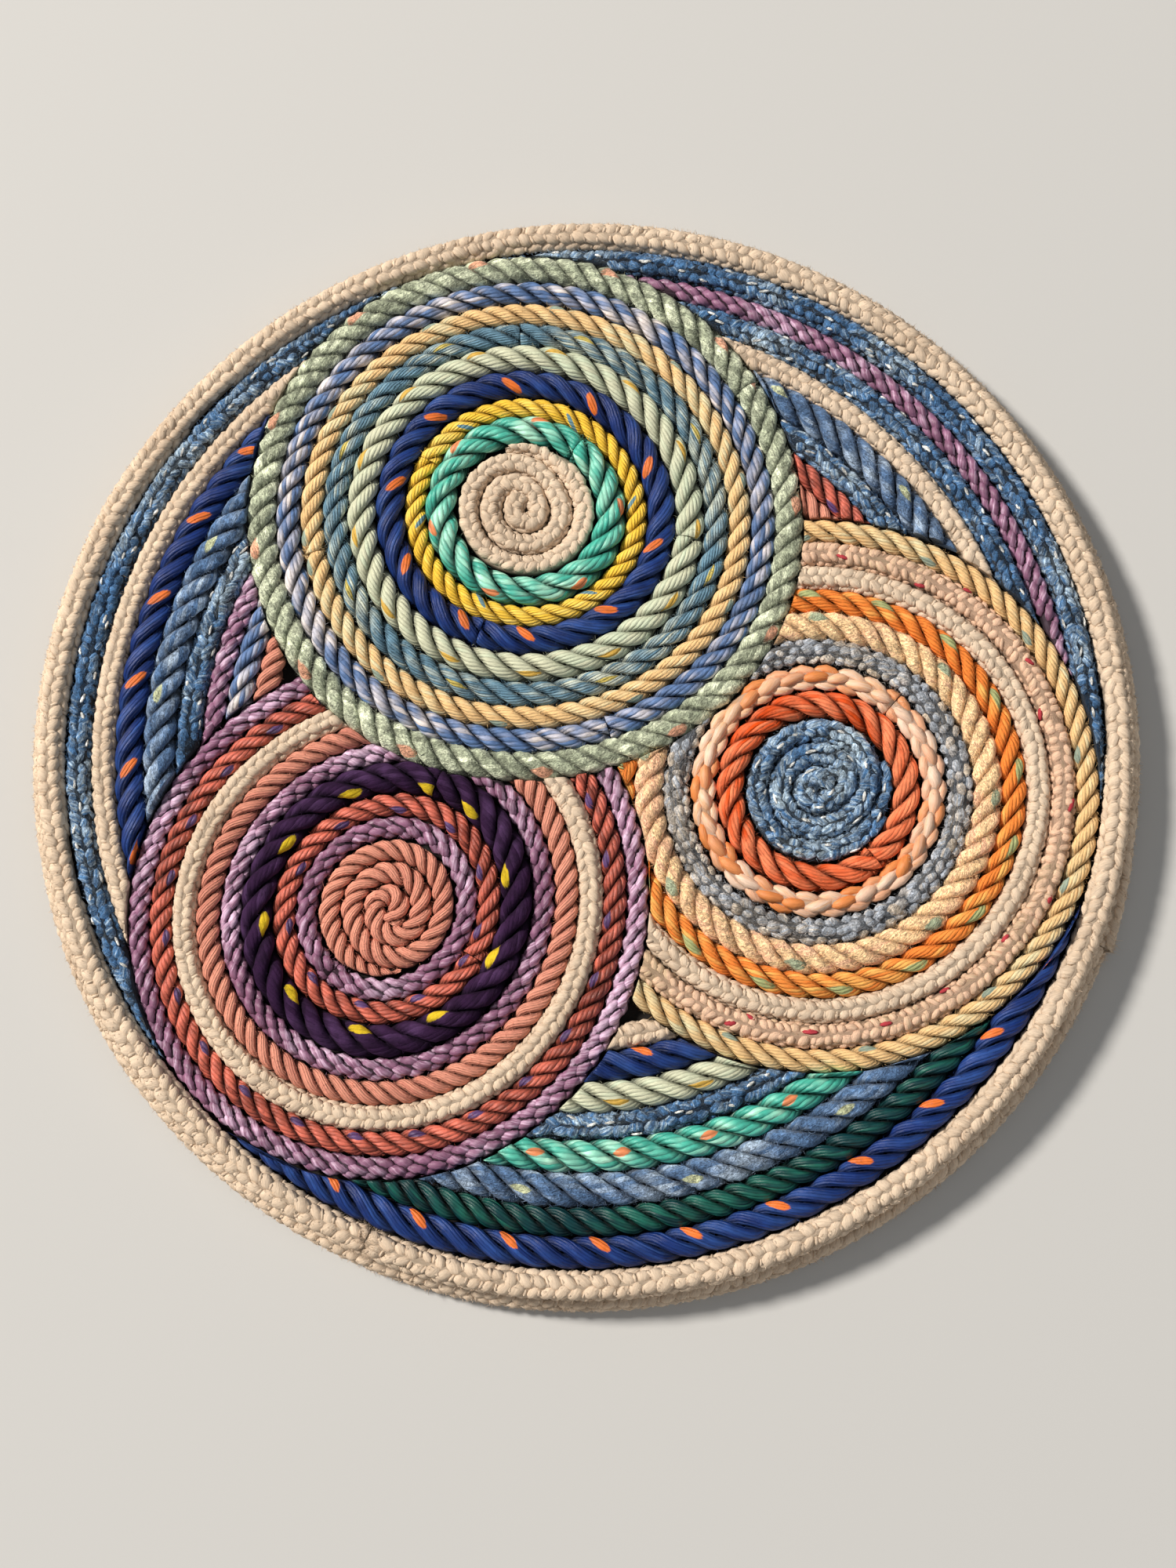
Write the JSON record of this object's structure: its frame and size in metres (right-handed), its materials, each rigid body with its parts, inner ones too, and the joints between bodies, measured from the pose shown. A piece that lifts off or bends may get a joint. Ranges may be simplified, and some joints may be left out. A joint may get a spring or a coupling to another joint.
{
  "type": "rope wall art",
  "caption": "Round rope mosaic: cut ropes glued side by side in overlapping ringed circles on a plywood disc, with a braided cotton rim.",
  "frame": {"origin": "centre of the board's flat back", "axes": "+Z out of the rope face, +Y towards the top of the hung picture, +X towards its right"},
  "size_m": [0.481, 0.481, 0.0247],
  "materials": {
    "plywood": "bare birch plywood edge and back, face stained dark",
    "white": "matte off-white cotton, solid braid",
    "teal": "shiny teal three-strand lay with orange tracer",
    "yellow": "yellow three-strand lay with blue-grey tracer",
    "royal": "royal blue three-strand lay with orange tracer",
    "mint": "pale mint three-strand lay with yellow tracer",
    "faded": "faded teal-grey three-strand lay",
    "straw": "pale straw three-strand lay",
    "periwinkle": "faded light blue and white lay",
    "seafoam": "fuzzy pale green lay with peach flecks",
    "rose": "faded pink three-strand lay",
    "lilac": "silky lilac plait",
    "terracotta": "soft terracotta three-strand lay with purple flecks",
    "night": "dark purple three-strand lay with yellow tracer",
    "sky": "faded steel-blue solid braid with white flecks",
    "orange": "orange-red three-strand lay",
    "peach": "satin orange and white plait",
    "slate": "fuzzy grey-blue and beige solid plait",
    "blush": "very fuzzy blush lay with green tints",
    "amber": "amber three-strand lay with pale green flecks",
    "cream": "matte fuzzy cream braid with red flecks",
    "denim": "fuzzy denim blue lay with pale green flecks",
    "forest": "shiny dark green three-strand lay"
  },
  "bodies": {
    "root": {"board": "plywood", "rim_front_turn": "white", "rim_side_turn": "white", "top_coil": "white", "top_ring_1": "teal", "top_ring_2": "yellow", "top_ring_3": "royal", "top_ring_4": "mint", "top_ring_5": "faded", "top_ring_6": "straw", "top_ring_7": "periwinkle", "top_ring_8": "seafoam", "left_coil": "rose", "left_ring_1": "lilac", "left_ring_2": "terracotta", "left_ring_3": "night", "left_ring_4": "lilac", "left_ring_5": "rose", "left_ring_6": "white", "left_ring_7": "terracotta", "left_ring_8": "lilac", "right_coil": "sky", "right_ring_1": "orange", "right_ring_2": "peach", "right_ring_3": "slate", "right_ring_4": "blush", "right_ring_5a": "amber", "right_ring_5b": "amber", "right_ring_6": "white", "right_ring_7": "cream", "right_ring_8": "straw", "west_row_1": "sky", "west_row_2": "white", "west_row_3": "royal", "west_row_4": "denim", "west_row_5": "sky", "west_row_6": "lilac", "west_row_7": "periwinkle", "west_row_8": "rose", "south_row_1": "royal", "south_row_2": "forest", "south_row_3": "denim", "south_row_4": "teal", "south_row_5": "sky", "south_row_6": "mint", "south_row_7": "royal", "south_row_8": "white", "east_row_1": "sky", "east_row_2": "lilac", "east_row_3": "sky", "east_row_4": "white", "east_row_5": "denim", "east_row_6": "sky", "east_row_7": "terracotta", "east_row_8": "rose"}
  },
  "joints": []
}
